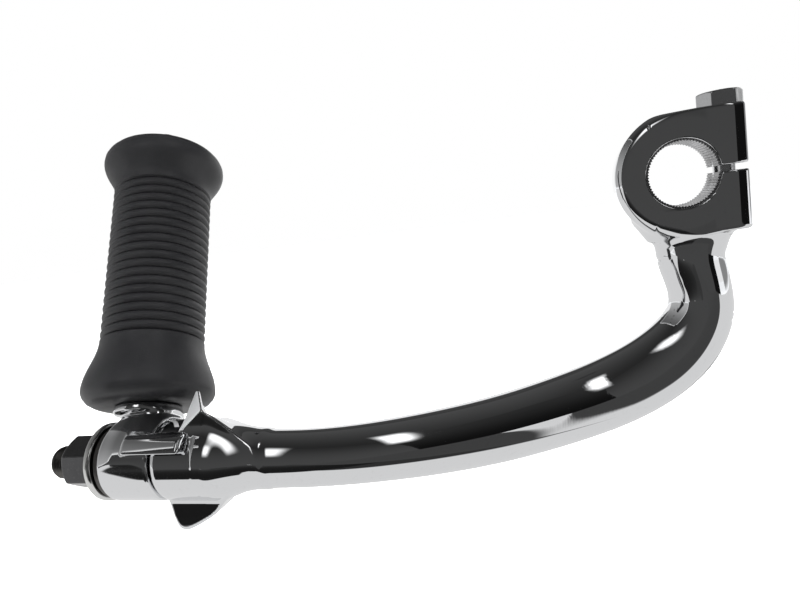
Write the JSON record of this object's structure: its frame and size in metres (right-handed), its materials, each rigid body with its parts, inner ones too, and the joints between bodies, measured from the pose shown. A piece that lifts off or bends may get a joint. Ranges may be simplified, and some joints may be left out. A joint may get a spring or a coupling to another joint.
{
  "type": "kick start lever",
  "caption": "Chromed kick start lever: split clamp for a shaft, curved forged arm, and a folding pedal with a ribbed rubber sleeve.",
  "frame": {"origin": "centre of the shaft bore, at the middle of the clamp's width", "axes": "+Y along the shaft bore towards the engine, +X towards the open side of the clamp and away from the pedal, +Z towards the pinch bolt's head; the pedal is drawn folded"},
  "size_m": [0.2117, 0.0883, 0.1195],
  "materials": {
    "crank_chrome": "bright chrome plate over a polished forging",
    "bolt_chrome": "bright plated",
    "stud_steel": "dark oiled steel",
    "pedal_chrome": "bright chrome plate",
    "black_rubber": "matte moulded",
    "spring_steel": "blackened spring steel",
    "washer_plated": "bright zinc plate",
    "nut_plated": "zinc plate, slightly dull"
  },
  "bodies": {
    "lever": {"crank": "crank_chrome", "pinch_bolt": "bolt_chrome", "pivot_stud": "stud_steel", "disc_spring": "spring_steel", "washer": "washer_plated", "lock_nut": "nut_plated"},
    "pedal": {"pedal": "pedal_chrome", "pedal_rubber": "black_rubber"}
  },
  "joints": [
    {"name": "pedal_fold", "type": "hinge", "parent": "lever", "child": "pedal", "pos_m": [-0.1608, -0.066, -0.0622], "axis": [1, 0, 0], "range_deg": [0, 90]}
  ]
}
